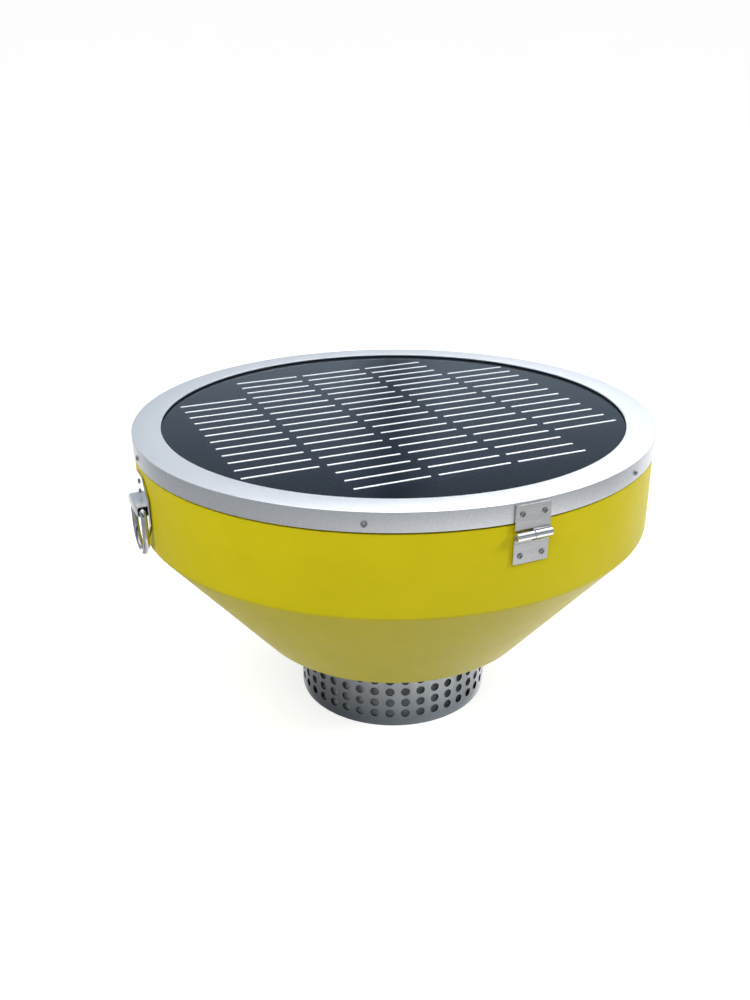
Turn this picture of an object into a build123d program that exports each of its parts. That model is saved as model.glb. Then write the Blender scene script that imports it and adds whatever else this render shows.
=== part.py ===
"""Small round water quality buoy: a moulded hull, a hinged solar lid, two ring handles and a strainer.

Millimetres, +Z up, origin on the floor under the middle of the strainer. The lid's hinge is at -Y, the ring
handles are at +X and -X.
"""
import math
import os

from build123d import *

os.makedirs("parts", exist_ok=True)

# Overall
lid_dia = 500.0              # across the aluminium rim
total_height = 300.0         # floor to the top of the rim

# Lid: an L-section rim over a thin glass laminate
rim_sheet = 1.5
rim_flange_width = 27.0
rim_skirt_height = 17.0
glass_thickness = 1.0
cell_sheet_thickness = 2.7   # the cells and the board that carries them
panel_skirt_gap = 2.5        # laminate edge to the inside of the skirt

# Ribbons on the cells: each column is centred on the panel's cross line
ribbon_turn = -1.1           # degrees about Z, the cells lie a little off the hinge's line
ribbon_counts = (12, 18, 18, 18, 12)
ribbon_width = 2.0
ribbon_depth = 0.3
ribbon_column_gap = 7.6
ribbon_side_margin = 60.9    # panel edge to the outer columns' ends, along the cross line
ribbon_end_margin = 78.7     # panel edge to the outer ribbons of the longest column

# Junction box on the back of the panel
junction_size = (100.0, 60.0, 15.0)
junction_edge_gap = 126.0    # panel edge to the box
junction_corner = 5.0

# Hull: neck under the skirt, straight band, cone and flat bottom
hull_step = 1.0              # the band lies this far inside the rim
hull_wall = 9.0
neck_gap = 5.5               # inside of the skirt to the neck
seal_gap = 2.5               # underside of the laminate to the top of the neck, filled by the seal
shoulder_slit = 1.5          # skirt edge down to the hull's shoulder
band_height = 73.5           # shoulder down to the knuckle
bottom_height = 80.0
bottom_dia = 286.0

# Strainer: a perforated sheet cylinder with a turned top flange, a pan and a filter sleeve
strainer_dia = 196.0
strainer_sheet = 1.2
strainer_flange_width = 14.0
strainer_columns = 40
strainer_row_heights = (14.6, 27.1, 39.7, 52.2)
strainer_hole_dia = 9.0
hole_sides = 6
pan_sheet = 1.2
pan_flange_height = 8.0
pan_clearance = 0.1
pan_hole_dia = 16.0
pan_ring_insets = (62.7, 26.7)   # pan edge to the middle of the holes
pan_ring_counts = (5, 10)
sleeve_gap = 3.6             # strainer sheet to the filter sleeve
sleeve_wall = 1.2
sleeve_floor_gap = 0.3

# Sensor sonde inside the strainer
sonde_dia = 64.0
sonde_floor_gap = 9.0

# Lift-off hinge
hinge_width = 32.0
hinge_sheet = 1.6
hinge_axis_drop = 27.6       # below the top of the rim
hinge_axis_offset = 3.3      # outside the rim
hinge_pin_dia = 3.8
hinge_pin_clearance = 0.05
hinge_pin_proud = 1.2
hinge_knuckle_gap = 0.3
hinge_slit = 0.9             # barrel to the edge of the plate that it doesn't belong to
hinge_upper_leaf = 21.2
hinge_lower_leaf = 20.7
hinge_corner = 1.0

# Ring handles
plate_shoulder_gap = 5.5     # hull's shoulder down to the plate
plate_thickness = 1.5
plate_half_width = 26.0
plate_half_height = 29.0
plate_end_half_width = 11.0
plate_side_half_height = 12.5
plate_corner = 1.7           # chamfer along the edge
ring_rod_dia = 6.0
rod_sides = 8
ring_half_width = 23.0
ring_corner_radius = 6.0
ring_corner_steps = 3        # mitres in each corner
ring_leg_length = 16.0
ring_round_steps = 5         # mitres in each quarter of the round end
saddle_overhang = 1.0        # past each end of the ring's straight bar
saddle_sheet = 1.4
saddle_clearance = 0.75
saddle_corner = 3.0
saddle_fold = 1.2           # bevel inside the folds

# Inside: battery and control box on the hull's floor
battery_width = 77.0
battery_offset_y = 45.0
battery_wall_gap = 15.6      # corners to the hull's wall at the floor
battery_head_room = 23.5     # up to the underside of the junction box
control_width = 90.0
control_offset_y = -60.0
control_wall_gap = 6.8
control_head_room = 70.5
box_corner = 6.0

cut_overrun = 1.0            # cutters reach this far past the faces that they cut

# Derived places
rim_radius = lid_dia / 2
skirt_inner = rim_radius - rim_sheet
skirt_bottom = total_height - rim_skirt_height
flange_under = total_height - rim_sheet
glass_under = flange_under - glass_thickness
cell_top = glass_under - ribbon_depth
panel_under = cell_top - cell_sheet_thickness
panel_radius = skirt_inner - panel_skirt_gap
ribbon_length = (2 * (panel_radius - ribbon_side_margin)
                 - (len(ribbon_counts) - 1) * ribbon_column_gap) / len(ribbon_counts)
ribbon_pitch = 2 * (panel_radius - ribbon_end_margin) / (max(ribbon_counts) - 1)
hull_radius = rim_radius - hull_step
neck_outer = skirt_inner - neck_gap
hull_inner = hull_radius - hull_wall
neck_top = panel_under - seal_gap
shoulder_height = skirt_bottom - shoulder_slit
knuckle_height = shoulder_height - band_height
bottom_radius = bottom_dia / 2
hull_lean = math.atan2(hull_radius - bottom_radius, knuckle_height - bottom_height)
floor_height = bottom_height + hull_wall
floor_radius = bottom_radius - hull_wall * math.tan((math.pi / 2 - hull_lean) / 2)
strainer_radius = strainer_dia / 2
strainer_inner = strainer_radius - strainer_sheet
sleeve_outer = strainer_inner - sleeve_gap
hinge_axis_y = -(rim_radius + hinge_axis_offset)
hinge_axis_height = total_height - hinge_axis_drop
barrel_radius = hinge_pin_dia / 2 + hinge_sheet
handle_radius = hull_radius + plate_thickness
handle_height = shoulder_height - plate_shoulder_gap - plate_half_height   # axis of the ring's top bar
ring_axis_radius = handle_radius + saddle_clearance + ring_rod_dia / 2


def save(shape, name):
    """Writes one node."""
    shape.label = name
    export_step(shape, f"parts/{name}.step")


def ring_of(points):
    """Revolves a closed outline of (radius, height) points about Z."""
    return revolve(make_face(Polyline(*[(r, 0, z) for r, z in points], close=True)), Axis.Z)


def tube(outer, inner, low, high):
    """Upright tube between two heights."""
    return ring_of([(inner, low), (outer, low), (outer, high), (inner, high)])


# Lid rim: flange and skirt turned from one sheet
def lid_rim():
    flange_inner = rim_radius - rim_flange_width
    return ring_of([
        (flange_inner, flange_under), (skirt_inner, flange_under), (skirt_inner, skirt_bottom),
        (rim_radius, skirt_bottom), (rim_radius, total_height), (flange_inner, total_height)])


# Solar laminate: glass over a cell sheet, with the ribbons in the film between them
def ribbon_places():
    column_pitch = ribbon_length + ribbon_column_gap
    middle = (len(ribbon_counts) - 1) / 2
    for column, count in enumerate(ribbon_counts):
        for line in range(count):
            yield (column - middle) * column_pitch, (line - (count - 1) / 2) * ribbon_pitch


def bus_ribbons():
    turned = Rot(0, 0, ribbon_turn)
    height = cell_top + ribbon_depth / 2
    ribbon = Box(ribbon_length, ribbon_width, ribbon_depth)
    return [turned * Pos(x, y, height) * ribbon for x, y in ribbon_places()]


def panel_glass():
    return tube(panel_radius, 0, glass_under, flange_under)


def cell_sheet():
    return tube(panel_radius, 0, panel_under, cell_top)


def junction_box():
    length, width, height = junction_size
    box = Box(length, width, height)
    box = chamfer(box.edges().filter_by(Axis.Z), junction_corner)
    box = chamfer(box.faces().sort_by(Axis.Z)[0].edges(), junction_corner / 2)
    return Pos(0, panel_radius - junction_edge_gap - width / 2, panel_under - height / 2) * box


# Hull: one moulded wall, with the neck under the skirt, the straight band, the cone and the flat bottom
def hull_shell():
    inner_knuckle = knuckle_height + hull_wall * math.tan(hull_lean / 2)
    return ring_of([
        (0, bottom_height), (bottom_radius, bottom_height), (hull_radius, knuckle_height),
        (hull_radius, shoulder_height), (neck_outer, shoulder_height), (neck_outer, neck_top),
        (hull_inner, neck_top), (hull_inner, inner_knuckle), (floor_radius, floor_height), (0, floor_height)])


# Strainer
def strainer_flat_tube(across, low, high):
    """Upright prism with one flat for each column of holes, the flats half of across from the axis."""
    outline = RegularPolygon(across / 2, strainer_columns, major_radius=False)
    return Pos(0, 0, low) * Rot(0, 0, 180.0 / strainer_columns) * extrude(outline, high - low)


def strainer_sheet_body():
    flange_dia = strainer_dia + 2 * strainer_flange_width
    body = strainer_flat_tube(strainer_dia, 0, bottom_height)
    body += strainer_flat_tube(flange_dia, bottom_height - strainer_sheet, bottom_height)
    body -= strainer_flat_tube(2 * strainer_inner, 0, bottom_height)
    hole = Rot(0, 90, 0) * extrude(RegularPolygon(strainer_hole_dia / 2, hole_sides), 3 * strainer_sheet)
    start = strainer_inner - strainer_sheet
    step = 360.0 / strainer_columns
    holes = [Rot(0, 0, column * step) * Pos(start, 0, height) * hole
             for column in range(strainer_columns) for height in strainer_row_heights]
    return body - holes


def strainer_pan():
    outer = strainer_inner - pan_clearance
    body = strainer_flat_tube(2 * outer, 0, pan_flange_height)
    body -= strainer_flat_tube(2 * (outer - pan_sheet), pan_sheet, pan_flange_height)
    hole = extrude(RegularPolygon(pan_hole_dia / 2, hole_sides), pan_sheet)
    holes = [Rot(0, 0, 360.0 * index / count) * Pos(outer - inset, 0, 0) * hole
             for inset, count in zip(pan_ring_insets, pan_ring_counts) for index in range(count)]
    return body - holes


def filter_sleeve():
    low = pan_sheet + sleeve_floor_gap
    body = strainer_flat_tube(2 * sleeve_outer, low, bottom_height)
    return body - strainer_flat_tube(2 * (sleeve_outer - sleeve_wall), low, bottom_height)


def sensor_sonde():
    return strainer_flat_tube(sonde_dia, pan_sheet + sonde_floor_gap, bottom_height)


# Hinge: two flat leaves, each with one rolled knuckle, on one pin
def hinge_leaf(inner_y, up, plate_height, knuckle_side, pin_clearance):
    """One leaf: its flat plate above (up 1) or below (up -1) the pin, the tongue and the knuckle."""
    slit_edge = hinge_axis_height + up * (barrel_radius + hinge_slit)
    middle_y = inner_y - hinge_sheet / 2
    plate = Pos(0, middle_y, slit_edge + up * plate_height / 2) * Box(hinge_width, hinge_sheet, plate_height)
    corners = plate.edges().filter_by(Axis.Y).sort_by(Axis.Z)
    plate = chamfer(corners[-2:] if up > 0 else corners[:2], hinge_corner)
    knuckle_length = hinge_width / 2 - hinge_knuckle_gap / 2
    knuckle_x = knuckle_side * (hinge_width / 2 - knuckle_length / 2)
    tongue_height = abs(slit_edge - hinge_axis_height)
    tongue = Pos(knuckle_x, middle_y, (slit_edge + hinge_axis_height) / 2)
    plate += tongue * Box(knuckle_length, hinge_sheet, tongue_height)
    at_axis = Pos(knuckle_x, hinge_axis_y, hinge_axis_height) * Rot(0, 90, 0)
    plate += at_axis * Cylinder(barrel_radius, knuckle_length)
    return plate - at_axis * Cylinder(hinge_pin_dia / 2 + pin_clearance, knuckle_length + 2 * cut_overrun)


def hinge_pin():
    length = hinge_width + hinge_pin_proud
    pin = Cylinder(hinge_pin_dia / 2, length)
    return Pos(hinge_pin_proud / 2, hinge_axis_y, hinge_axis_height) * Rot(0, 90, 0) * pin


# Ring handle, made at +X and turned about Z for the other side
def handle_plate():
    outline = [
        (plate_half_width, -plate_side_half_height), (plate_half_width, plate_side_half_height),
        (plate_end_half_width, plate_half_height), (-plate_end_half_width, plate_half_height),
        (-plate_half_width, plate_side_half_height), (-plate_half_width, -plate_side_half_height),
        (-plate_end_half_width, -plate_half_height), (plate_end_half_width, -plate_half_height)]
    flat = make_face(Polyline(*outline, close=True))
    flat = chamfer(flat.vertices(), plate_corner)
    upright = Plane(origin=(hull_radius, 0, handle_height), x_dir=(0, 1, 0), z_dir=(1, 0, 0))
    return extrude(upright * flat, plate_thickness)


def handle_saddle():
    length = 2 * (ring_half_width - ring_corner_radius + saddle_overhang)
    channel = 2 * saddle_clearance + ring_rod_dia
    height = channel + saddle_sheet
    width = channel + 2 * saddle_sheet
    outer = Pos(height / 2, 0, 0) * Box(height, length, width)
    outer = chamfer(outer.faces().sort_by(Axis.X)[-1].edges().filter_by(Axis.Y), saddle_corner)
    inner = Pos(channel / 2, 0, 0) * Box(channel, length + 2 * cut_overrun, channel)
    inner = chamfer(inner.faces().sort_by(Axis.X)[-1].edges().filter_by(Axis.Y), saddle_fold)
    return Pos(handle_radius, 0, handle_height) * (outer - inner)


def bend_points(centre_y, centre_z, radius, start_turn, steps):
    """Mitre points of a quarter bend, clockwise in (y, z), whose flats touch the arc."""
    step = 90.0 / steps
    reach = radius / math.cos(math.radians(step / 2))
    turns = [math.radians(start_turn - (index + 0.5) * step) for index in range(steps)]
    return [(0, centre_y + reach * math.cos(turn), centre_z + reach * math.sin(turn)) for turn in turns]


def handle_ring():
    bar = ring_half_width - ring_corner_radius
    low = -ring_corner_radius - ring_leg_length
    path = Polyline(
        (0, 0, 0),
        *bend_points(bar, -ring_corner_radius, ring_corner_radius, 90.0, ring_corner_steps),
        *bend_points(0, low, ring_half_width, 0.0, ring_round_steps),
        (0, 0, low - ring_half_width))
    section = Rot(0, 0, 180.0 / rod_sides) * RegularPolygon(ring_rod_dia / 2, rod_sides)
    across = Plane(origin=(0, 0, 0), x_dir=(1, 0, 0), z_dir=(0, 1, 0)) * section
    half = sweep(across, path, transition=Transition.RIGHT)
    return Pos(ring_axis_radius, 0, handle_height) * (half + mirror(half, Plane.XZ))


# Boxes inside the hull
def floor_box(width, offset_y, wall_gap, head_room):
    """Box across the hull, as long as the round floor allows and as high as the junction box allows."""
    junction_under = panel_under - junction_size[2]
    length = 2 * math.sqrt((floor_radius - wall_gap) ** 2 - (abs(offset_y) + width / 2) ** 2)
    height = junction_under - head_room - floor_height
    box = chamfer(Box(length, width, height).edges().filter_by(Axis.Z), box_corner)
    return Pos(0, offset_y, floor_height + height / 2) * box


save(hull_shell(), "hull_shell")
save(lid_rim(), "lid_rim")
save(panel_glass(), "panel_glass")
save(cell_sheet(), "cell_sheet")
save(Compound(bus_ribbons()), "bus_ribbons")
save(junction_box(), "junction_box")
save(hinge_leaf(-rim_radius, 1, hinge_upper_leaf, 1, hinge_pin_clearance), "hinge_leaf_upper")
save(hinge_leaf(-hull_radius, -1, hinge_lower_leaf, -1, 0), "hinge_leaf_lower")
save(hinge_pin(), "hinge_pin")
save(strainer_sheet_body(), "strainer_sheet")
save(strainer_pan(), "strainer_pan")
save(filter_sleeve(), "filter_sleeve")
save(sensor_sonde(), "sensor_sonde")
save(floor_box(battery_width, battery_offset_y, battery_wall_gap, battery_head_room), "battery_block")
save(floor_box(control_width, control_offset_y, control_wall_gap, control_head_room), "control_box")
for side, turn in (("right", 0), ("left", 180)):
    save(Rot(0, 0, turn) * handle_plate(), f"handle_plate_{side}")
    save(Rot(0, 0, turn) * handle_saddle(), f"handle_saddle_{side}")
    save(Rot(0, 0, turn) * handle_ring(), f"handle_ring_{side}")
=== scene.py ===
import math

import bmesh
import bpy
import numpy as np
from mathutils import Matrix, Vector


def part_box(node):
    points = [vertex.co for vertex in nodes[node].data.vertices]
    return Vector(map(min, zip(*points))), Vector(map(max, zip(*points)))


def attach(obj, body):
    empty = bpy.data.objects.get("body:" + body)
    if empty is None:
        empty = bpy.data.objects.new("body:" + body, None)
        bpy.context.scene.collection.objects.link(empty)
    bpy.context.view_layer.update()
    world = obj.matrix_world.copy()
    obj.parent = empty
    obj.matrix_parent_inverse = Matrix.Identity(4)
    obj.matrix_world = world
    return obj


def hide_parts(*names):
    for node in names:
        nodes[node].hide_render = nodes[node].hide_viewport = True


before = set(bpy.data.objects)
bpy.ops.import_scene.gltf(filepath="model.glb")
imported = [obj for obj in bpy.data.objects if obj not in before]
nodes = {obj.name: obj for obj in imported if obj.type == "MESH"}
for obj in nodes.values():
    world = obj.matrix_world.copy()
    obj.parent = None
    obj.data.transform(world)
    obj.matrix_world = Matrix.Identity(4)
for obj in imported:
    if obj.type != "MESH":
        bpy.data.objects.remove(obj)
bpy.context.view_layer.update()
mm = 0.001                       # sizes below are in mm, meshes are in metres
print("frame loaded:", len(nodes), "solids' nodes")


# shapes are pairs (points, faces), with the points in mm

# quads of a grid that is counted row by row: each goes from (row, col) to the next row, the next of both
# and the next column
def gridFaces(rows, cols, wrapRows=False, wrapCols=False):
    row, col = np.meshgrid(np.arange(rows - (not wrapRows)), np.arange(cols - (not wrapCols)), indexing="ij")
    rowAfter, colAfter = (row + 1) % rows, (col + 1) % cols
    corners = [row * cols + col, rowAfter * cols + col, rowAfter * cols + colAfter, row * cols + colAfter]
    return np.stack(corners, -1).reshape(-1, 4).tolist()


# loft: rings of equal length joined in order, with a flat face on each end unless the row of rings is closed
def loft(rings, closed=False):
    rings = np.asarray(rings, float)
    rows, cols = rings.shape[:2]
    faces = gridFaces(rows, cols, closed, True)
    if not closed:
        faces += [list(range(cols)), list(range((rows - 1) * cols, rows * cols))]
    return rings.reshape(-1, 3), faces


# stack: outlines (u, v) of equal length lofted in order, each at its own height w
def stacked(levels):
    return loft([np.column_stack([outline, np.full(len(outline), w)]) for outline, w in levels])


# lathe: (r, z) goes to (r cos a, r sin a, z); the two ends of an open outline aren't joined
def lathe(outline, segments, closed=True):
    a = np.arange(segments) * 2 * math.pi / segments
    r, z = np.asarray(outline, float).T
    points = np.stack([np.outer(r, np.cos(a)), np.outer(r, np.sin(a)), np.outer(z, np.ones(segments))], -1)
    return points.reshape(-1, 3), gridFaces(len(r), segments, closed, True)


# corner rounding: an arc of radius r that touches both sides, centre on the bisector at r / sin(half angle);
# points between the arc's ends a and b are (sin((1 - t) w) a + sin(t w) b) / sin w
def rounded(points, radii, steps=6):
    points = np.asarray(points, float)
    out = []
    for p, before, after, r in zip(points, np.roll(points, 1, 0), np.roll(points, -1, 0), radii):
        if r == 0:
            out.append(p[None])
            continue
        u, v = (before - p) / np.linalg.norm(before - p), (after - p) / np.linalg.norm(after - p)
        half = math.acos(u @ v) / 2
        centre = p + (u + v) / np.linalg.norm(u + v) * r / math.sin(half)
        a, b = p + u * r / math.tan(half) - centre, p + v * r / math.tan(half) - centre
        t, w = np.linspace(0, 1, steps + 1)[:, None], math.pi - 2 * half
        out.append(centre + (np.sin((1 - t) * w) * a + np.sin(t * w) * b) / math.sin(w))
    return np.concatenate(out)


# section of an upright ring: a rectangle in (r, z), its corners rounded in order from the inner lower one
def ringSection(f):
    inner, outer, low, high = (f[key] for key in ("inner", "outer", "low", "high"))
    return rounded([(inner, low), (outer, low), (outer, high), (inner, high)], f["rounds"], f["steps"])


# outline moved in by d: each point goes along the mean of its sides' normals, stretched so that both sides
# move by d
def inset(outline, d):
    side = np.roll(outline, -1, 0) - outline
    side /= np.linalg.norm(side, axis=1)[:, None]
    normal = np.stack([-side[:, 1], side[:, 0]], 1)
    mean = normal + np.roll(normal, 1, 0)
    mean /= np.linalg.norm(mean, axis=1)[:, None]
    area = (outline[:, 0] * np.roll(outline[:, 1], -1) - outline[:, 1] * np.roll(outline[:, 0], -1)).sum()
    return outline + mean * (math.copysign(d, area) / (mean * normal).sum(1))[:, None]


# plate: an outline (u, v) raised along w to its thickness, with a small flat bevel round both faces
def plate(outline, thickness, bevel):
    small = inset(outline, bevel)
    return stacked([(small, 0), (outline, bevel), (outline, thickness - bevel), (small, thickness)])


# rod: a section carried along a path, each ring at path + s0 * normal + s1 * across
def rod(path, normal, across, section, closed):
    rings = path[:, None] + section[None, :, :1] * normal[:, None] + section[None, :, 1:] * across
    return loft(rings, closed)


# directions of u, v and w for a shape that faces the front at -Y, the side at +X, or down
toFront = (1, 0, 0), (0, 0, 1), (0, -1, 0)
toSide = (0, 1, 0), (0, 0, 1), (1, 0, 0)
toFloor = (1, 0, 0), (0, -1, 0), (0, 0, -1)


# places a shape made in (u, v, w) at a point, with the world directions of u, v and w
def placed(shape, origin, u, v, w):
    points, faces = shape
    return np.asarray(origin, float) + points @ np.array([u, v, w], float), faces


# turn about the upright axis by degrees
def turned(shape, degrees):
    c, s = math.cos(math.radians(degrees)), math.sin(math.radians(degrees))
    points, faces = shape
    return points @ np.array([[c, s, 0], [-s, c, 0], [0, 0, 1]]), faces


# several shapes as one
def joined(shapes):
    points, faces, start = [], [], 0
    for p, f in shapes:
        points.append(p)
        faces += [[i + start for i in face] for face in f]
        start += len(p)
    return np.concatenate(points), faces


# foot and recessFloor are heights in mm, and the rest are shares of the radius or the height
headForm = {"foot": -0.3, "side": 0.3, "shoulder": 0.93, "shoulderHeight": 0.75, "flat": 0.8, "arm": 0.66,
            "armHalf": 0.17, "recessTaper": 0.8, "recessFloor": -0.2}


# pan-head screw, axis along w: circles that draw in towards a flat top, and in it a cross recess, one arm
# turned by quarters; a circle has as many points as the cross and starts at the same corner, at 45 degrees
def screwHead(radius, height):
    f = headForm
    arm, half = f["arm"] * radius, f["armHalf"] * radius
    middle = (half + arm) / 2
    quarter = np.array([(half, half), (half, middle), (half, arm), (0, arm), (-half, arm), (-half, middle)])
    quarterTurn = np.array([[0, 1], [-1, 0]])
    cross = np.concatenate([quarter @ np.linalg.matrix_power(quarterTurn, k) for k in range(4)])
    turn = np.radians(45 + 360 / len(cross) * np.arange(len(cross)))
    circle = radius * np.stack([np.cos(turn), np.sin(turn)], 1)
    return stacked([(circle, f["foot"]), (circle, f["side"] * height),
                    (circle * f["shoulder"], f["shoulderHeight"] * height), (circle * f["flat"], height),
                    (cross, height), (cross * f["recessTaper"], f["recessFloor"])])


# an object at the origin with a shape as its mesh
def shapeObject(name, shape, material):
    points, faces = shape
    mesh = bpy.data.meshes.new(name)
    mesh.from_pydata((points * mm).tolist(), [], faces)
    mesh.materials.append(material)
    obj = bpy.data.objects.new(name, mesh)
    bpy.context.scene.collection.objects.link(obj)
    return obj


meshRules = {"merge": 3e-6, "sharp": 32}     # metres between doubles, degrees of a crisp edge


# puts a shape in the scene on its body: doubles merge, faces turn outwards, and edges sharper than the angle
# stay crisp
def piece(name, shape, body, material, replaces=()):
    obj = shapeObject(name, shape, material)
    work = bmesh.new()
    work.from_mesh(obj.data)
    bmesh.ops.remove_doubles(work, verts=work.verts, dist=meshRules["merge"])
    bmesh.ops.recalc_face_normals(work, faces=work.faces)
    work.to_mesh(obj.data)
    work.free()
    obj.data.shade_smooth()
    obj.data.set_sharp_from_angle(angle=math.radians(meshRules["sharp"]))
    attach(obj, body)
    if replaces:
        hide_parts(*replaces)


# finishes: noise on Object coordinates moves the colour, the roughness and a fine bump

grainForm = {"detail": 4, "roughness": 0.55, "colorEnds": (0.3, 0.7), "roughEnds": (0.25, 0.75), "finer": 3,
             "relief": 0.0003, "reliefDetail": 2}


# place on the piece in metres, in the frame's axes
def objectPlace(tree):
    return tree.nodes.new("ShaderNodeTexCoord").outputs["Object"]


# a place moved, turned or stretched, by one socket of a Mapping node
def mapped(tree, vector, socket, value):
    node = tree.nodes.new("ShaderNodeMapping")
    node.inputs[socket].default_value = value
    tree.links.new(vector, node.inputs["Vector"])
    return node.outputs["Vector"]


# x, y and z of a vector
def splitOn(tree, vector):
    node = tree.nodes.new("ShaderNodeSeparateXYZ")
    tree.links.new(vector, node.inputs["Vector"])
    return node.outputs["X"], node.outputs["Y"], node.outputs["Z"]


# noise from 0 to 1 over the place, stretched along the axes
def noiseOn(tree, scale, stretch, detail):
    node = tree.nodes.new("ShaderNodeTexNoise")
    node.inputs["Scale"].default_value = scale
    node.inputs["Detail"].default_value = detail
    node.inputs["Roughness"].default_value = grainForm["roughness"]
    tree.links.new(mapped(tree, objectPlace(tree), "Scale", stretch), node.inputs["Vector"])
    return node.outputs["Fac"]


# colour by a value from 0 to 1, straight between the stops (value, colour)
def rampOn(tree, value, stops):
    node = tree.nodes.new("ShaderNodeValToRGB")
    elements = node.color_ramp.elements
    elements[0].position, elements[1].position = stops[0][0], stops[-1][0]
    for at, _ in stops[1:-1]:
        elements.new(at)
    for element, (_, color) in zip(elements, stops):
        element.color = (*color, 1)
    tree.links.new(value, node.inputs["Fac"])
    return node.outputs["Color"]


# a value carried straight from low..high to the range given, and held at its ends
def rangeOn(tree, value, low, high, to=(0, 1)):
    node = tree.nodes.new("ShaderNodeMapRange")
    for socket, limit in zip(("From Min", "From Max", "To Min", "To Max"), (low, high, *to)):
        node.inputs[socket].default_value = limit
    tree.links.new(value, node.inputs["Value"])
    return node.outputs["Result"]


# one step of arithmetic on one or two values, each a number or a socket
def mathOn(tree, operation, first, second=None):
    node = tree.nodes.new("ShaderNodeMath")
    node.operation = operation
    for socket, value in zip(node.inputs, (first, second)):
        if isinstance(value, (int, float)):
            socket.default_value = value
        elif value is not None:
            tree.links.new(value, socket)
    return node.outputs["Value"]


# first colour at share 0, second at share 1; a Mix node's colours are its inputs 6 and 7 and its output 2
def mixOn(tree, share, first, second):
    node = tree.nodes.new("ShaderNodeMix")
    node.data_type = "RGBA"
    tree.links.new(share, node.inputs["Factor"])
    for socket, value in ((node.inputs[6], first), (node.inputs[7], second)):
        if isinstance(value, tuple):
            socket.default_value = (*value, 1)
        else:
            tree.links.new(value, socket)
    return node.outputs[2]


# a new material, with what is the same all over it on its shader's own sockets
def shaderMaterial(name, sockets):
    material = bpy.data.materials.new(name)
    material.use_nodes = True
    for socket, value in sockets.items():
        material.node_tree.nodes["Principled BSDF"].inputs[socket].default_value = value
    return material


# finish: colour from dark to light and roughness over its range, both by noise, and a bump by finer noise
def finish(name, dark, light, rough, grain, bump=0, bumpScale=900, stretch=(1, 1, 1), metal=0,
           sockets=None):
    f = grainForm
    material = shaderMaterial(name, {"Metallic": metal, **(sockets or {})})
    tree = material.node_tree
    shader = tree.nodes["Principled BSDF"]
    darkAt, lightAt = f["colorEnds"]
    color = rampOn(tree, noiseOn(tree, grain, stretch, f["detail"]), [(darkAt, dark), (lightAt, light)])
    tree.links.new(color, shader.inputs["Base Color"])
    fine = noiseOn(tree, grain * f["finer"], stretch, f["detail"])
    tree.links.new(rangeOn(tree, fine, *f["roughEnds"], rough), shader.inputs["Roughness"])
    if bump:
        relief = tree.nodes.new("ShaderNodeBump")
        relief.inputs["Strength"].default_value = bump
        relief.inputs["Distance"].default_value = f["relief"]
        tree.links.new(noiseOn(tree, bumpScale, stretch, f["reliefDetail"]), relief.inputs["Height"])
        tree.links.new(relief.outputs["Normal"], shader.inputs["Normal"])
    return material


yellowHull = finish("yellow_hull", dark=(0.52, 0.432, 0.001), light=(0.55, 0.457, 0.002),
                    rough=(0.40, 0.50), grain=30, bump=0.25, bumpScale=1400,
                    sockets={"Specular IOR Level": 0.20})
satinRim = finish("satin_rim", dark=(0.735, 0.75, 0.775), light=(0.88, 0.895, 0.92),
                  rough=(0.33, 0.47), grain=800, bump=0.4, bumpScale=2200, metal=1)
hingeSteel = finish("hinge_steel", dark=(0.74, 0.74, 0.745), light=(0.82, 0.82, 0.825),
                    rough=(0.17, 0.27), grain=120, bump=0.12, bumpScale=1500, stretch=(0.1, 1, 1), metal=1)
ringChrome = finish("ring_chrome", dark=(0.58, 0.58, 0.59), light=(0.68, 0.68, 0.69),
                    rough=(0.10, 0.18), grain=60, metal=1)
plateSteel = finish("plate_steel", dark=(0.74, 0.74, 0.75), light=(0.82, 0.82, 0.83),
                    rough=(0.05, 0.11), grain=90, bump=0.03, bumpScale=1500, stretch=(1, 0.15, 1), metal=1)
saddleSteel = finish("saddle_steel", dark=(0.82, 0.82, 0.83), light=(0.88, 0.88, 0.89),
                     rough=(0.32, 0.42), grain=90, bump=0.05, bumpScale=1500, stretch=(1, 0.15, 1), metal=1)
screwSteel = finish("screw_steel", dark=(0.34, 0.345, 0.35), light=(0.44, 0.445, 0.45),
                    rough=(0.24, 0.36), grain=300, bump=0.1, metal=1)
strainerSteel = finish("strainer_steel", dark=(0.33, 0.35, 0.365), light=(0.46, 0.48, 0.495),
                       rough=(0.26, 0.38), grain=80, bump=0.15, bumpScale=1200, stretch=(1, 1, 0.2), metal=1)
panSteel = finish("pan_steel", dark=(0.22, 0.24, 0.255), light=(0.31, 0.33, 0.345),
                  rough=(0.30, 0.42), grain=80, bump=0.15, bumpScale=1200, metal=1)
filterFelt = finish("filter_felt", dark=(0.25, 0.255, 0.26), light=(0.34, 0.345, 0.35),
                    rough=(0.85, 0.95), grain=260, bump=0.8, bumpScale=1500)
sondeBlack = finish("sonde_black", dark=(0.012, 0.012, 0.013), light=(0.022, 0.022, 0.024),
                    rough=(0.4, 0.55), grain=200, bump=0.3)
batteryBlack = finish("battery_black", dark=(0.016, 0.016, 0.018), light=(0.028, 0.028, 0.03),
                      rough=(0.5, 0.62), grain=160, bump=0.4)
controlGrey = finish("control_grey", dark=(0.42, 0.43, 0.44), light=(0.48, 0.49, 0.50),
                     rough=(0.42, 0.55), grain=140, bump=0.35)
junctionBlack = finish("junction_black", dark=(0.014, 0.014, 0.015), light=(0.026, 0.026, 0.028),
                       rough=(0.45, 0.6), grain=200, bump=0.4)
sealRubber = finish("seal_rubber", dark=(0.012, 0.012, 0.012), light=(0.02, 0.02, 0.02),
                    rough=(0.7, 0.85), grain=240, bump=0.4)
ribbonTin = finish("ribbon_tin", dark=(0.80, 0.82, 0.84), light=(0.86, 0.87, 0.88),
                   rough=(0.30, 0.42), grain=400)
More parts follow.
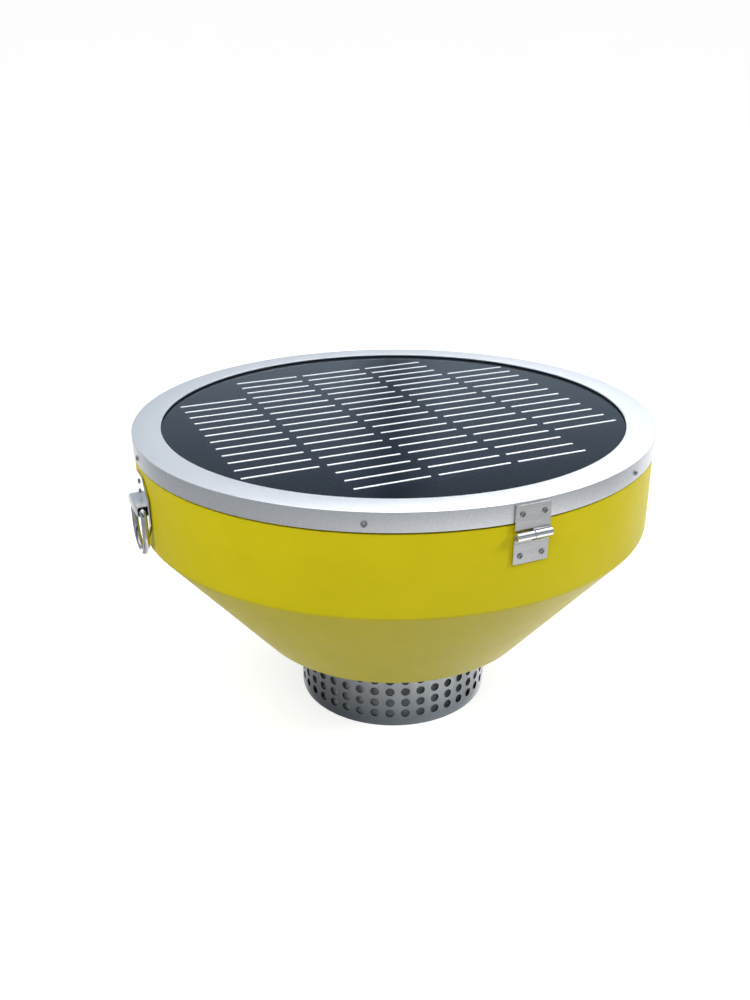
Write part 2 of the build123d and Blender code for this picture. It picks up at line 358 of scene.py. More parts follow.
coverGlass = finish("cover_glass", dark=(0.04, 0.05, 0.06), light=(0.05, 0.06, 0.07),
                    rough=(0.03, 0.05), grain=8, sockets={"Alpha": 0.04, "IOR": 1.5})
print("finishes made")


# hull

# rounds are the radii of the outline's corners, from the middle of the bottom out, up, and in again to the
# middle of the floor
hullForm = {"radius": 249.0, "bottomRadius": 143.0, "bottom": 80.0, "knuckle": 208.0, "shoulder": 281.0,
            "neckRadius": 243.0, "neckTop": 292.0, "innerRadius": 240.0, "wall": 9.0,
            "rounds": [0, 2.5, 6, 0.5, 0.8, 0.6, 0.6, 8, 12, 0], "segments": 256}


# outline in (r, z): where the wall bends by an angle, its inner corner is shifted by wall * tan(angle / 2)
# along the upright or the level side
def hullOutline(f):
    lean = math.atan2(f["radius"] - f["bottomRadius"], f["knuckle"] - f["bottom"])
    innerKnuckle = f["knuckle"] + f["wall"] * math.tan(lean / 2)
    floorRadius = f["bottomRadius"] - f["wall"] * math.tan((math.pi / 2 - lean) / 2)
    floor = f["bottom"] + f["wall"]
    corners = [(0, f["bottom"]), (f["bottomRadius"], f["bottom"]), (f["radius"], f["knuckle"]),
               (f["radius"], f["shoulder"]), (f["neckRadius"], f["shoulder"]),
               (f["neckRadius"], f["neckTop"]), (f["innerRadius"], f["neckTop"]),
               (f["innerRadius"], innerKnuckle), (floorRadius, floor), (0, floor)]
    return rounded(corners, f["rounds"])


piece("hullSkin", lathe(hullOutline(hullForm), hullForm["segments"], False), "hull",
      yellowHull, ["hull_shell"])

# seal: a soft ring on the neck's top, rounder at its upper edges
sealForm = {"inner": 240.4, "outer": 242.6, "low": 292.0, "high": 294.3, "rounds": [0.3, 0.3, 1, 1],
            "steps": 6, "segments": 192}
piece("lidSeal", lathe(ringSection(sealForm), sealForm["segments"]), "hull", sealRubber)

boxForm = {"corner": 7.0, "bevel": 2.5, "seam": 0.6, "seamDrop": 22.0}


# floor box: the node's box with round corners, a bevelled top and the groove of a lid seam a little below it
def floorBox(node, f):
    low, high = (np.array(corner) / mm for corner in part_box(node))
    corners = [(low[0], low[1]), (high[0], low[1]), (high[0], high[1]), (low[0], high[1])]
    outline = rounded(corners, [f["corner"]] * 4)
    small, groove = inset(outline, f["bevel"]), inset(outline, f["seam"])
    seam = high[2] - f["seamDrop"]
    return stacked([(outline, low[2]), (outline, seam), (groove, seam + f["seam"]),
                    (groove, seam + 2 * f["seam"]), (outline, seam + 3 * f["seam"]),
                    (outline, high[2] - f["bevel"]), (small, high[2])])


piece("batteryCase", floorBox("battery_block", boxForm), "hull", batteryBlack,
      ["battery_block"])
piece("controlCase", floorBox("control_box", boxForm), "hull", controlGrey, ["control_box"])
print("hull done")


# lid

# rounds are the radii of the section's corners, from the flange's lower inner edge round to its upper one
rimForm = {"radius": 250.0, "top": 300.0, "sheet": 1.5, "flange": 27.0, "skirt": 17.0,
           "rounds": [0.3, 0.8, 0.3, 0.3, 0.7, 0.3], "segments": 256}


# section in (r, z): a flange and a skirt of one sheet
def rimSection(f):
    outer, top = f["radius"], f["top"]
    inner, skirtLow = outer - f["flange"], top - f["skirt"]
    skirtInner, flangeUnder = outer - f["sheet"], top - f["sheet"]
    corners = [(inner, flangeUnder), (skirtInner, flangeUnder), (skirtInner, skirtLow), (outer, skirtLow),
               (outer, top), (inner, top)]
    return rounded(corners, f["rounds"])


piece("rimShell", lathe(rimSection(rimForm), rimForm["segments"]), "lid", satinRim,
      ["lid_rim"])

# small cross-head screws round the skirt, the first at this turn from the hinge
skirtScrews = {"first": -30.4, "count": 6, "height": 290.0, "radius": 2.7, "head": 1.2}


# one screw at the front, turned by equal steps about the upright axis
def skirtHeads(f):
    head = placed(screwHead(f["radius"], f["head"]), (0, -rimForm["radius"], f["height"]), *toFront)
    return joined([turned(head, f["first"] + 360 / f["count"] * k) for k in range(f["count"])])


piece("skirtScrews", skirtHeads(skirtScrews), "lid", screwSteel)

# ribbons: flat strips in columns, pressed a hair into the glass above them
ribbonForm = {"counts": (12, 18, 18, 18, 12), "length": 67.96, "gap": 7.6, "pitch": 19.682, "width": 2.0,
              "low": 297.2, "high": 297.6, "turn": -1.1}


# columns and lines are centred: place = (number - (count - 1) / 2) * pitch
def ribbonStrips(f):
    counts = f["counts"]
    columns = np.repeat(np.arange(len(counts)) - (len(counts) - 1) / 2, counts) * (f["length"] + f["gap"])
    lines = np.concatenate([(np.arange(n) - (n - 1) / 2) * f["pitch"] for n in counts])
    strip = np.array([(-1, -1), (1, -1), (1, 1), (-1, 1)]) * (f["length"] / 2, f["width"] / 2)
    strips = [stacked([(strip + place, f["low"]), (strip + place, f["high"])])
              for place in zip(columns, lines)]
    return turned(joined(strips), f["turn"])


piece("busRibbons", ribbonStrips(ribbonForm), "lid", ribbonTin, ["bus_ribbons"])

# cells, sizes in metres: blocks are half widths in columns and half lengths in ribbon pitches; above the
# height front the board is glossy, and below it lies its dull back
cellLook = {"column": (ribbonForm["length"] + ribbonForm["gap"]) * mm, "pitch": ribbonForm["pitch"] * mm,
            "turn": ribbonForm["turn"], "gap": 0.0008, "finger": 0.0019, "fingerShare": 0.35,
            "blocks": ((1.5, 9.0), (2.5, 6.0)), "backing": (0.003, 0.0045, 0.008),
            "shades": ((0.0034, 0.0058, 0.012), (0.0046, 0.0074, 0.0145)),
            "fingers": (0.0047, 0.0076, 0.0148), "front": 0.2968, "frontRough": 0.04,
            "back": (0.020, 0.021, 0.023), "backRough": 0.55}


# cells: strips of a column's width and a ribbon's pitch in two shades, crossed by faint fingers, within
# |x| < columns * column and |y| < rows * pitch of either block, and plain backing elsewhere
def cellPattern(material, look):
    tree = material.node_tree
    place = mapped(tree, objectPlace(tree), "Rotation", (0, 0, -math.radians(look["turn"])))
    x, y, z = splitOn(tree, place)
    inside = []
    for columns, rows in look["blocks"]:
        across = mathOn(tree, "LESS_THAN", mathOn(tree, "ABSOLUTE", x), columns * look["column"])
        along = mathOn(tree, "LESS_THAN", mathOn(tree, "ABSOLUTE", y), rows * look["pitch"])
        inside.append(mathOn(tree, "MULTIPLY", across, along))
    strips = tree.nodes.new("ShaderNodeTexBrick")
    strips.offset = 0
    settings = {"Scale": 1.0, "Mortar Size": look["gap"] / 2, "Brick Width": look["column"],
                "Row Height": look["pitch"], "Color1": (*look["shades"][0], 1),
                "Color2": (*look["shades"][1], 1), "Mortar": (*look["backing"], 1)}
    for socket, value in settings.items():
        strips.inputs[socket].default_value = value
    tree.links.new(mapped(tree, place, "Location", (look["column"] / 2, 0, 0)), strips.inputs["Vector"])
    along = mathOn(tree, "FRACT", mathOn(tree, "DIVIDE", x, look["finger"]))
    finger = mathOn(tree, "LESS_THAN", along, look["fingerShare"])
    cells = mixOn(tree, finger, strips.outputs["Color"], look["fingers"])
    color = mixOn(tree, mathOn(tree, "MAXIMUM", *inside), look["backing"], cells)
    front = mathOn(tree, "GREATER_THAN", z, look["front"])
    gloss = mathOn(tree, "MULTIPLY", front, look["backRough"] - look["frontRough"])
    shader = tree.nodes["Principled BSDF"]
    tree.links.new(mixOn(tree, front, look["back"], color), shader.inputs["Base Color"])
    tree.links.new(mathOn(tree, "SUBTRACT", look["backRough"], gloss), shader.inputs["Roughness"])


cellSheet = shaderMaterial("cell_sheet", {"IOR": 1.6})
cellPattern(cellSheet, cellLook)

# solids that show as they are
for node, material, slot in (("panel_glass", coverGlass, "panel_glass"),
                             ("cell_sheet", cellSheet, "cell_sheet"),
                             ("junction_box", junctionBlack, "junction_black")):
    nodes[node].data.materials.clear()
    nodes[node].data.materials.append(material)
print("lid done")


# hinge: two flat leaves, each with a rolled knuckle, on one pin

hingeForm = {"width": 32.0, "sheet": 1.6, "axisY": -253.3, "axisZ": 272.4, "barrel": 3.5, "barrelPoints": 48,
             "corner": 1.4, "bevel": 0.25, "edge": 0.2, "gap": 0.3, "lap": 0.4,
             "pin": 1.9, "pinProud": 1.2, "pinRounds": [0, 0.3, 0.7, 0], "pinSegments": 28,
             "bore": 2.0, "boreGap": 0.15, "screwX": 10.0, "screwRadius": 2.6, "screwHead": 0.9,
             "upper": {"inner": -250.0, "up": 1, "length": 21.2, "side": 1, "slit": 0.9, "screwZ": 290.2},
             "lower": {"inner": -249.0, "up": -1, "length": 18.4, "side": -1, "slit": 3.2, "screwZ": 254.5}}


# leaf: a plate in (x, z) that faces the front, from the slit by the barrel to its far end
def hingeFace(f, leaf):
    slit = f["axisZ"] + leaf["up"] * (f["barrel"] + leaf["slit"])
    far = slit + leaf["up"] * leaf["length"]
    half = f["width"] / 2
    outline = rounded([(-half, slit), (half, slit), (half, far), (-half, far)],
                      [f["edge"], f["edge"], f["corner"], f["corner"]])
    return placed(plate(outline, f["sheet"], f["bevel"]), (0, leaf["inner"], 0), *toFront)


# knuckle: its section about the pin, in (inwards, up), is the sheet's front, the barrel (R cos t, R sin t)
# round to the sheet's back, and the sheet's back; rings of it run along x, and the last two go down the bore
# at the outer end
def hingeKnuckle(f, leaf):
    side, r, edge = leaf["side"], f["barrel"], f["edge"]
    back, top = leaf["inner"] - f["axisY"], f["barrel"] + leaf["slit"] + f["lap"]
    front = back - f["sheet"]
    start = math.acos(front / r)
    t = np.linspace(start, 2 * math.pi + math.acos(min(back / r, 1)), f["barrelPoints"])
    heel = [(back, 0)] if back > r else []
    section = np.array([(front, top), *np.stack([r * np.cos(t), r * np.sin(t)], 1), *heel, (back, top)])
    t = start + np.arange(len(section)) * 2 * math.pi / len(section)
    mouth = (f["pin"] + f["boreGap"]) * np.stack([np.cos(t), np.sin(t)], 1)
    small = section * (1 - edge / r)
    x0, x1 = side * f["gap"] / 2, side * f["width"] / 2
    ends = [(x0, small), (x0 + side * edge, section), (x1 - side * edge, section), (x1, small), (x1, mouth),
            (x1 - side * f["bore"], mouth)]
    rings = [np.column_stack([np.full(len(o), x), f["axisY"] + o[:, 0], f["axisZ"] + leaf["up"] * o[:, 1]])
             for x, o in ends]
    return loft(rings)


# two screws on the leaf's face
def hingeHeads(f, leaf):
    head = screwHead(f["screwRadius"], f["screwHead"])
    return joined([placed(head, (x, leaf["inner"] - f["sheet"], leaf["screwZ"]), *toFront)
                   for x in (-f["screwX"], f["screwX"])])


# pin: a round rod along x from inside the left bore to a little past the right end
def hingePin(f):
    left, right = -f["width"] / 2 + f["bore"] / 2, f["width"] / 2 + f["pinProud"]
    outline = rounded([(0, left), (f["pin"], left), (f["pin"], right), (0, right)], f["pinRounds"])
    return placed(lathe(outline, f["pinSegments"], False), (0, f["axisY"], f["axisZ"]), *toSide)


for name, body in (("upper", "lid"), ("lower", "hull")):
    leaf = hingeForm[name]
    piece("hingeLeaf_" + name, joined([hingeFace(hingeForm, leaf), hingeKnuckle(hingeForm, leaf)]), body,
          hingeSteel, ["hinge_leaf_" + name])
    piece("hingeScrews_" + name, hingeHeads(hingeForm, leaf), body, screwSteel)
piece("hingePin", hingePin(hingeForm), "hull", hingeSteel, ["hinge_pin"])
print("hinge done")


# ring handles, made at +X and turned for the other side

handleForm = {"hull": 249.0, "height": 247.0, "plate": 1.5, "halfWidth": 26.0, "halfHeight": 29.0,
              "endHalf": 11.0, "sideHalf": 12.5, "corner": 4.0, "bevel": 0.35,
              "rod": 3.0, "rodSides": 20, "clearance": 0.75,
              "ringHalf": 23.0, "ringCorner": 6.0, "cornerSteps": 10, "leg": 16.0, "endPoints": 41,
              "saddleHalf": 18.0, "saddleSheet": 1.4, "saddleRound": 1.8, "foldSteps": 8, "stripRound": 0.3,
              "stripSteps": 3, "screwY": -3.0, "screwZ": (21.0, 11.5, -11.5, -21.0), "screwRadius": 2.4,
              "screwHead": 1.0}


# plate: an octagon with round corners in (y, z)
def handlePlate(f):
    w, h, e, s = f["halfWidth"], f["halfHeight"], f["endHalf"], f["sideHalf"]
    corners = [(w, -s), (w, s), (e, h), (-e, h), (-w, s), (-w, -s), (-e, -h), (e, -h)]
    outline = rounded(corners, [f["corner"]] * len(corners))
    return placed(plate(outline, f["plate"], f["bevel"]), (f["hull"], 0, f["height"]), *toSide)


# saddle: a strip carried along a path in (x, z) that folds over the rod, with round folds
def handleSaddle(f):
    reach = 2 * (f["rod"] + f["clearance"]) + f["saddleSheet"] / 2
    rise = f["rod"] + f["clearance"] + f["saddleSheet"] / 2
    fold = rounded([(0, -rise), (reach, -rise), (reach, rise), (0, rise)],
                   [0, f["saddleRound"], f["saddleRound"], 0], f["foldSteps"])
    along = np.gradient(fold, axis=0)
    along /= np.linalg.norm(along, axis=1)[:, None]
    flat = np.zeros(len(fold))
    path = np.column_stack([f["hull"] + f["plate"] + fold[:, 0], flat, f["height"] + fold[:, 1]])
    normal = np.column_stack([along[:, 1], flat, -along[:, 0]])
    t, y = f["saddleSheet"] / 2, f["saddleHalf"]
    strip = rounded([(-t, -y), (t, -y), (t, y), (-t, y)], [f["stripRound"]] * 4, f["stripSteps"])
    return rod(path, normal, (0, 1, 0), strip, False)


# ring: a circle carried along a loop in (y, z), a bar with two round corners, two legs and a half-round end
def handleRing(f):
    r, c, low = f["ringHalf"], f["ringCorner"], -f["ringCorner"] - f["leg"]
    end = np.linspace(-math.pi, 0, f["endPoints"])
    bar = rounded([(r, low), (r, 0), (-r, 0), (-r, low)], [0, c, c, 0], f["cornerSteps"])[1:-1]
    loop = np.concatenate([bar, np.stack([r * np.cos(end), low + r * np.sin(end)], 1)])
    along = np.roll(loop, -1, 0) - np.roll(loop, 1, 0)
    along /= np.linalg.norm(along, axis=1)[:, None]
    axis = np.full(len(loop), f["hull"] + f["plate"] + f["clearance"] + f["rod"])
    path = np.column_stack([axis, loop[:, 0], f["height"] + loop[:, 1]])
    outward = np.column_stack([np.zeros(len(loop)), along[:, 1], -along[:, 0]])
    turn = np.arange(f["rodSides"]) * 2 * math.pi / f["rodSides"]
    circle = f["rod"] * np.stack([np.cos(turn), np.sin(turn)], 1)
    return rod(path, outward, (1, 0, 0), circle, True)


# screws in a column on the plate's face, over and under the saddle
def handleHeads(f):
    head = screwHead(f["screwRadius"], f["screwHead"])
    return joined([placed(head, (f["hull"] + f["plate"], f["screwY"], f["height"] + z), *toSide)
                   for z in f["screwZ"]])


for side, turn in (("right", 0), ("left", 180)):
    piece("handlePlate_" + side, turned(handlePlate(handleForm), turn), "hull", plateSteel,
          ["handle_plate_" + side])
    piece("handleSaddle_" + side, turned(handleSaddle(handleForm), turn), "hull", saddleSteel,
          ["handle_saddle_" + side])
    piece("handleScrews_" + side, turned(handleHeads(handleForm), turn), "hull", screwSteel)
    piece("handleRing_" + side, turned(handleRing(handleForm), turn), "ring_" + side,
          ringChrome, ["handle_ring_" + side])
print("handles done")


# strainer

strainerForm = {"radius": 98.0, "sheet": 1.2, "top": 80.0, "flange": 14.0, "columns": 40,
                "rows": (14.6, 27.1, 39.7, 52.2), "pitch": 12.53, "hole": 4.5, "perSide": 6, "hemRound": 0.4,
                "hemSteps": 3, "bend": 2.2, "edgeRound": 0.3, "brimSteps": 5}


# loop round a cell: n points along its lower and upper sides and m along the others, counter-clockwise from
# the corner (-1, -1), in (-1..1, -1..1)
def cellLoop(n, m):
    s, t = np.linspace(-1, 1, n + 1)[:-1], np.linspace(-1, 1, m + 1)[:-1]
    return np.concatenate([np.stack([s, -np.ones(n)], 1), np.stack([np.ones(m), t], 1),
                           np.stack([-s, np.ones(n)], 1), np.stack([-np.ones(m), -t], 1)])


# angles of the same points on a round hole: even steps along each side, corners at 45 degrees
def holeLoop(n, m):
    return np.radians(np.concatenate([-135 + 90 * np.arange(n) / n, -45 + 90 * np.arange(m) / m,
                                      45 + 90 * np.arange(n) / n, 135 + 90 * np.arange(m) / m]))


# one row of holes: each has a cell of the sheet round it, from low to high, and a point (u, z) of the flat
# sheet goes to the angle u / R on the outer and the inner face, so the holes are punched square to the sheet
def holeRow(f, z, low, high):
    outer, inner = f["radius"], f["radius"] - f["sheet"]
    halfTurn = math.pi / f["columns"]
    loop, turn = cellLoop(f["perSide"], f["perSide"]), holeLoop(f["perSide"], f["perSide"])
    heights = np.where(loop[:, 1] < 0, z + loop[:, 1] * (z - low), z + loop[:, 1] * (high - z))
    edge = loop[:, 0] * halfTurn, heights
    hole = f["hole"] * np.cos(turn) / outer, z + f["hole"] * np.sin(turn)
    loops = (edge, outer), (hole, outer), (hole, inner), (edge, inner)
    faces = gridFaces(len(loops), len(loop), False, True)
    cells = []
    for column in range(f["columns"]):
        rings = [(angle + 2 * halfTurn * column, height, r) for (angle, height), r in loops]
        points = [np.column_stack([r * np.cos(a), r * np.sin(a), height]) for a, height, r in rings]
        cells.append((np.concatenate(points), faces))
    return cells


# sheet cylinder: rows of holes, a hem below them, and above them a bend out to the flange
def strainerSheet(f):
    outer, inner, wide = f["radius"], f["radius"] - f["sheet"], f["radius"] + f["flange"]
    rows, top, under = f["rows"], f["top"], f["top"] - f["sheet"]
    first, last = rows[0] - f["pitch"] / 2, rows[-1] + f["pitch"] / 2
    limits = [first, *((a + b) / 2 for a, b in zip(rows, rows[1:])), last]
    shapes = [cell for z, low, high in zip(rows, limits, limits[1:]) for cell in holeRow(f, z, low, high)]
    hem = rounded([(outer, first), (outer, 0), (inner, 0), (inner, first)],
                  [0, f["hemRound"], f["hemRound"], 0], f["hemSteps"])
    brim = rounded([(inner, last), (inner, top), (wide, top), (wide, under), (outer, under), (outer, last)],
                   [0, f["bend"] + f["sheet"], f["edgeRound"], f["edgeRound"], f["bend"], 0], f["brimSteps"])
    around = f["perSide"] * f["columns"]
    shapes += [turned(lathe(band, around, False), -180 / f["columns"]) for band in (hem, brim)]
    return joined(shapes)


# painted shade, in metres: the sheet is painted darker at its foot, for the shadowed floor that it reflects,
# and gets brighter from height low to high; inside the radius of its face, where x x + y y < r r, it is
# painted dark as shade
strainerPaintedShade = {"low": 0.006, "high": 0.05, "foot": (0.135, 0.155, 0.17), "face": 0.0978,
            "gapShade": (0.02, 0.021, 0.022)}


# mixes the painted shade over the colour that the finish already has
def paintShadeOn(material, look):
    tree = material.node_tree
    color = tree.nodes["Principled BSDF"].inputs["Base Color"]
    x, y, z = splitOn(tree, objectPlace(tree))
    # painted shade: darker towards the foot, for the shadowed floor that the sheet reflects
    share = rangeOn(tree, z, look["low"], look["high"])
    footShaded = mixOn(tree, share, look["foot"], color.links[0].from_socket)
    # painted shade: everything inside the outer face, that is the inner face and the holes' walls, is painted
    # dark for the shade in the gap to the sleeve
    square = mathOn(tree, "ADD", mathOn(tree, "MULTIPLY", x, x), mathOn(tree, "MULTIPLY", y, y))
    within = mathOn(tree, "LESS_THAN", square, look["face"] ** 2)
    tree.links.new(mixOn(tree, within, footShaded, look["gapShade"]), color)


# painted shade on the strainer's sheet: darker at its foot and inside its outer face
paintShadeOn(strainerSteel, strainerPaintedShade)
piece("strainerShell", strainerSheet(strainerForm), "hull", strainerSteel,
      ["strainer_sheet"])

flangeScrews = {"count": 8, "ring": 105.0, "seat": 78.8, "radius": 3.2, "head": 1.4}


# screws under the flange, heads down, at half steps round the axis
def flangeHeads(f):
    head = placed(screwHead(f["radius"], f["head"]), (f["ring"], 0, f["seat"]), *toFloor)
    return joined([turned(head, (k + 0.5) * 360 / f["count"]) for k in range(f["count"])])


piece("flangeScrews", flangeHeads(flangeScrews), "hull", screwSteel)

# each ring of holes is (middle radius, count, from radius, to radius)
panForm = {"radius": 96.7, "sheet": 1.2, "edge": 8.0, "hole": 8.0,
           "rings": ((34.0, 5, 20.0, 48.0), (70.0, 10, 48.0, 88.0)), "around": 160, "perSide": 8,
           "rounds": [0, 1.6, 0.4, 0.4, 0.6, 0], "steps": 4}


# pan: rings of round holes in a flat disc, each hole in its own sector between two radii, where a point of
# the sector's edge is (r cos a, r sin a), then a turned-up edge and a plain middle
def panShape(f):
    shapes = []
    for middle, count, low, high in f["rings"]:
        n, m = f["around"] // count, f["perSide"]
        loop, turn = cellLoop(n, m), holeLoop(n, m)
        angle, radius = loop[:, 0] * math.pi / count, (low + high) / 2 + loop[:, 1] * (high - low) / 2
        edge = np.stack([radius * np.cos(angle), radius * np.sin(angle)], 1)
        hole = np.stack([middle + f["hole"] * np.sin(turn), f["hole"] * np.cos(turn)], 1)
        levels = [(edge, 0), (hole, 0), (hole, f["sheet"]), (edge, f["sheet"])]
        points = np.concatenate([np.column_stack([o, np.full(len(o), z)]) for o, z in levels])
        faces = gridFaces(len(levels), len(loop), False, True)
        shapes += [turned((points, faces), 360 * k / count) for k in range(count)]
    start, stop, r, t = f["rings"][0][2], f["rings"][-1][3], f["radius"], f["sheet"]
    rim = rounded([(stop, 0), (r, 0), (r, f["edge"]), (r - t, f["edge"]), (r - t, t), (stop, t)],
                  f["rounds"], f["steps"])
    turn = -180 / f["rings"][0][1]
    shapes += [turned(lathe(outline, f["around"], False), turn)
               for outline in (rim, [(0, 0), (start, 0)], [(0, t), (start, t)])]
    return joined(shapes)


piece("strainerPan", panShape(panForm), "hull", panSteel, ["strainer_pan"])

sleeveForm = {"inner": 92.0, "outer": 93.2, "low": 1.5, "high": 80.0, "rounds": [0.3] * 4, "steps": 2,
              "segments": 160}
piece("filterTube", lathe(ringSection(sleeveForm), sleeveForm["segments"]), "hull",
      filterFelt, ["filter_sleeve"])

sondeForm = {"radius": 32.0, "low": 10.2, "high": 80.0, "round": 4.0, "segments": 96}


# sonde: an upright round rod, rounded at its lower end
def sondeRod(f):
    corners = [(0, f["low"]), (f["radius"], f["low"]), (f["radius"], f["high"]), (0, f["high"])]
    return lathe(rounded(corners, [0, f["round"], 0, 0]), f["segments"], False)


piece("sondeBody", sondeRod(sondeForm), "hull", sondeBlack, ["sensor_sonde"])
print("strainer done")


# studio: pale floor, soft lights and the camera at the photo's angle

# sizes in metres
studio = {"floorDark": (0.60, 0.605, 0.61), "floorLight": (0.612, 0.6171, 0.6222), "floorGlow": 0.58,
          "wallDark": (0, 0, 0), "wallLight": (0.01, 0.01, 0.01), "wallGlow": 0.97, "grain": 0.5,
          "reach": 9.0, "wall": 7.0, "bend": 3.0, "bendPoints": 13, "segments": 96}


# stage: an outline (r, z) in metres turned about the upright axis; only the camera sees it, and the sky
# stands in for it in reflections and bounced light
def stagePiece(name, outline, material):
    obj = shapeObject(name, lathe(np.array(outline) / mm, studio["segments"], False), material)
    obj.data.shade_smooth()
    obj.visible_diffuse = obj.visible_glossy = obj.visible_transmission = False
    return obj


# a disc of floor, and a wall that curves up from its edge as a quarter circle
def stageOutlines(f):
    t = np.linspace(0, math.pi / 2, f["bendPoints"])
    curve = zip(f["reach"] + f["bend"] * np.sin(t), f["bend"] * (1 - np.cos(t)))
    return [(0, 0), (f["reach"], 0)], [*curve, (f["reach"] + f["bend"], f["wall"])]


paleFloor = finish("pale_floor", dark=studio["floorDark"], light=studio["floorLight"], rough=(0.7, 0.8),
                   grain=studio["grain"],
                   sockets={"Emission Color": (1, 1, 1, 1), "Emission Strength": studio["floorGlow"]})
paleWall = finish("pale_wall", dark=studio["wallDark"], light=studio["wallLight"], rough=(0.8, 0.9),
                  grain=studio["grain"],
                  sockets={"Emission Color": (1, 1, 1, 1), "Emission Strength": studio["wallGlow"]})
floorOutline, wallOutline = stageOutlines(studio)
stagePiece("floor", floorOutline, paleFloor)
stagePiece("wall", wallOutline, paleWall).visible_shadow = False

# stops go by the height of a direction, 0 straight down, 0.5 level and 1 straight up: bright below, a dim
# room round the horizon, a haze above it and a broad bright ceiling; lean is how much the light grows to the
# right and fades to the left; dim posts stand straight ahead and behind, above the horizon; the pale backdrop
# lies ahead, below it; behind the camera the ceiling is in shade
skyLook = {"stops": [(0.0, (0.80, 0.80, 0.80)), (0.10, (0.85, 0.85, 0.85)), (0.20, (0.98, 0.98, 0.98)),
                     (0.31, (0.36, 0.365, 0.37)), (0.45, (0.34, 0.35, 0.36)), (0.60, (0.46, 0.58, 0.69)),
                     (0.69, (0.165, 0.21, 0.27)), (0.77, (0.43, 0.49, 0.57)), (0.87, (1.40, 1.40, 1.40))],
           "right": (0.903, -0.431, 0.0), "ahead": (0.508, 0.861, 0.0),
           "lean": [(0.0, 0.85), (0.22, 0.85), (0.27, 0.05), (0.58, 0.05), (0.66, -0.5), (0.76, -0.3),
                    (0.8, 0.2)],
           "post": [(0.58, 0.0), (0.63, 0.6), (0.74, 0.6), (0.79, 0.0)], "postHalf": 0.05,
           "shade": [(0.64, 0.0), (0.72, 0.8), (0.94, 0.8), (0.97, 0.0)], "shadeEnds": (0.0, -0.35),
           "backdrop": (1.8, 1.8, 1.8), "backdropEnds": (0.45, 0.85), "backdropTop": 0.12}


# colour = stops by height, mixed with the backdrop ahead;
# strength = (1 + lean * rightwards) * (1 - post) * (1 - shade)
def skyOn(world, look):
    world.use_nodes = True
    tree = world.node_tree
    direction = tree.nodes.new("ShaderNodeTexCoord").outputs["Generated"]
    z = splitOn(tree, direction)[2]
    height = rangeOn(tree, z, -1, 1)

    # how far the direction points along another one, from -1 to 1
    def towards(other):
        node = tree.nodes.new("ShaderNodeVectorMath")
        node.operation = "DOT_PRODUCT"
        node.inputs[1].default_value = other
        tree.links.new(direction, node.inputs[0])
        return node.outputs["Value"]

    # an amount that goes by height, straight between its stops
    def byHeight(stops):
        return rampOn(tree, height, [(at, (amount,) * 3) for at, amount in stops])

    ahead, rightwards = towards(look["ahead"]), towards(look["right"])
    low = rangeOn(tree, z, look["backdropTop"], 0)
    backdrop = mathOn(tree, "MULTIPLY", rangeOn(tree, ahead, *look["backdropEnds"]), low)
    color = mixOn(tree, backdrop, rampOn(tree, height, look["stops"]), look["backdrop"])
    strength = mathOn(tree, "ADD", mathOn(tree, "MULTIPLY", rightwards, byHeight(look["lean"])), 1.0)
    post = rangeOn(tree, mathOn(tree, "ABSOLUTE", rightwards), look["postHalf"], 0)
    shade = rangeOn(tree, ahead, *look["shadeEnds"])
    for where, amounts in ((post, look["post"]), (shade, look["shade"])):
        dimmed = mathOn(tree, "MULTIPLY", where, byHeight(amounts))
        strength = mathOn(tree, "MULTIPLY", strength, mathOn(tree, "SUBTRACT", 1.0, dimmed))
    tree.links.new(color, tree.nodes["Background"].inputs["Color"])
    tree.links.new(strength, tree.nodes["Background"].inputs["Strength"])


world = bpy.data.worlds.new("studio_sky")
bpy.context.scene.world = world
skyOn(world, skyLook)

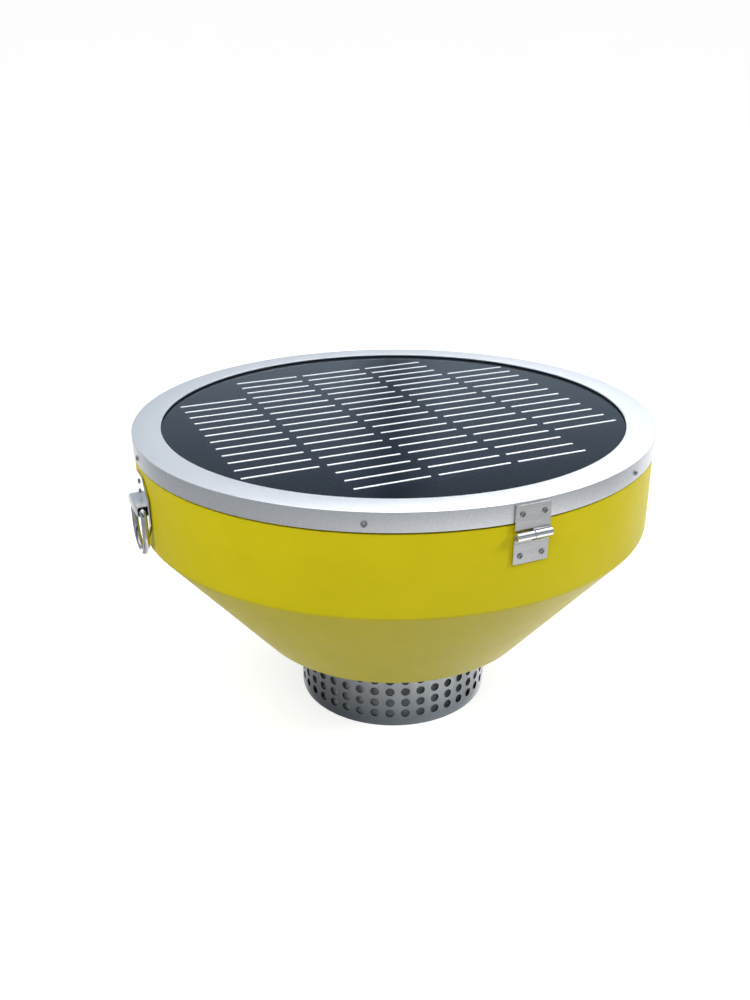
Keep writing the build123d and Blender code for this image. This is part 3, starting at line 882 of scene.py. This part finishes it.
# square soft lights, each at a place, aimed at a point, size its side in metres; a hidden one leaves no
# highlight
studioLights = {
    "topLight": {"place": (0.8, 0.5, 1.9), "aim": (0, 0, 0.25), "size": 1.4, "watts": 22, "hidden": False},
    "highKey": {"place": (-0.8, -1.3, 1.9), "aim": (0, 0, 0.2), "size": 1.5, "watts": 27, "hidden": True},
    "rightLight": {"place": (1.5, -1.3, 1.5), "aim": (0, 0, 0.2), "size": 0.5, "watts": 26, "hidden": True},
    "leftFill": {"place": (-2.1, -0.2, 1.15), "aim": (0, 0, 0.2), "size": 1.2, "watts": 21, "hidden": True}}
for name, look in studioLights.items():
    light = bpy.data.lights.new(name, "AREA")
    light.size, light.energy = look["size"], look["watts"]
    obj = bpy.data.objects.new(name, light)
    obj.location = look["place"]
    obj.rotation_euler = (Vector(look["aim"]) - Vector(look["place"])).to_track_quat("-Z", "Y").to_euler()
    obj.visible_glossy = not look["hidden"]
    bpy.context.scene.collection.objects.link(obj)

# the distance is in metres from the middle of the rim's top, the lens in mm, and the rest in degrees
photoCamera = {"distance": 0.95, "elevation": 17.45, "azimuth": 25.5, "pitch": 22.72, "yaw": -1.13,
               "roll": -0.46, "lens": 34.72}


# camera directions: forward from pitch and yaw, right level with the floor, up square to both; right and up
# are rolled, and all is turned by the azimuth
def cameraMatrix(c):
    pitch, yaw, roll, high = (math.radians(c[k]) for k in ("pitch", "yaw", "roll", "elevation"))
    forward = np.array([math.sin(yaw) * math.cos(pitch), math.cos(yaw) * math.cos(pitch), -math.sin(pitch)])
    right = np.array([math.cos(yaw), -math.sin(yaw), 0])
    up = np.cross(right, forward)
    across = math.cos(roll) * right + math.sin(roll) * up
    above = -math.sin(roll) * right + math.cos(roll) * up
    place = np.array([0, -c["distance"] * math.cos(high), c["distance"] * math.sin(high)])
    a = math.radians(c["azimuth"])
    turn = np.array([[math.cos(a), math.sin(a), 0], [-math.sin(a), math.cos(a), 0], [0, 0, 1]])
    full = np.eye(4)
    full[:3, :3] = turn @ np.column_stack([across, above, -forward])
    full[:3, 3] = turn @ place + (0, 0, rimForm["top"] * mm)
    return Matrix(full.tolist())


camera = bpy.data.cameras.new("photoCamera")
camera.lens = photoCamera["lens"]
cameraObject = bpy.data.objects.new("photoCamera", camera)
bpy.context.scene.collection.objects.link(cameraObject)
cameraObject.matrix_world = cameraMatrix(photoCamera)
bpy.context.scene.camera = cameraObject
bpy.context.scene.view_settings.view_transform = "Standard"
print("studio done")
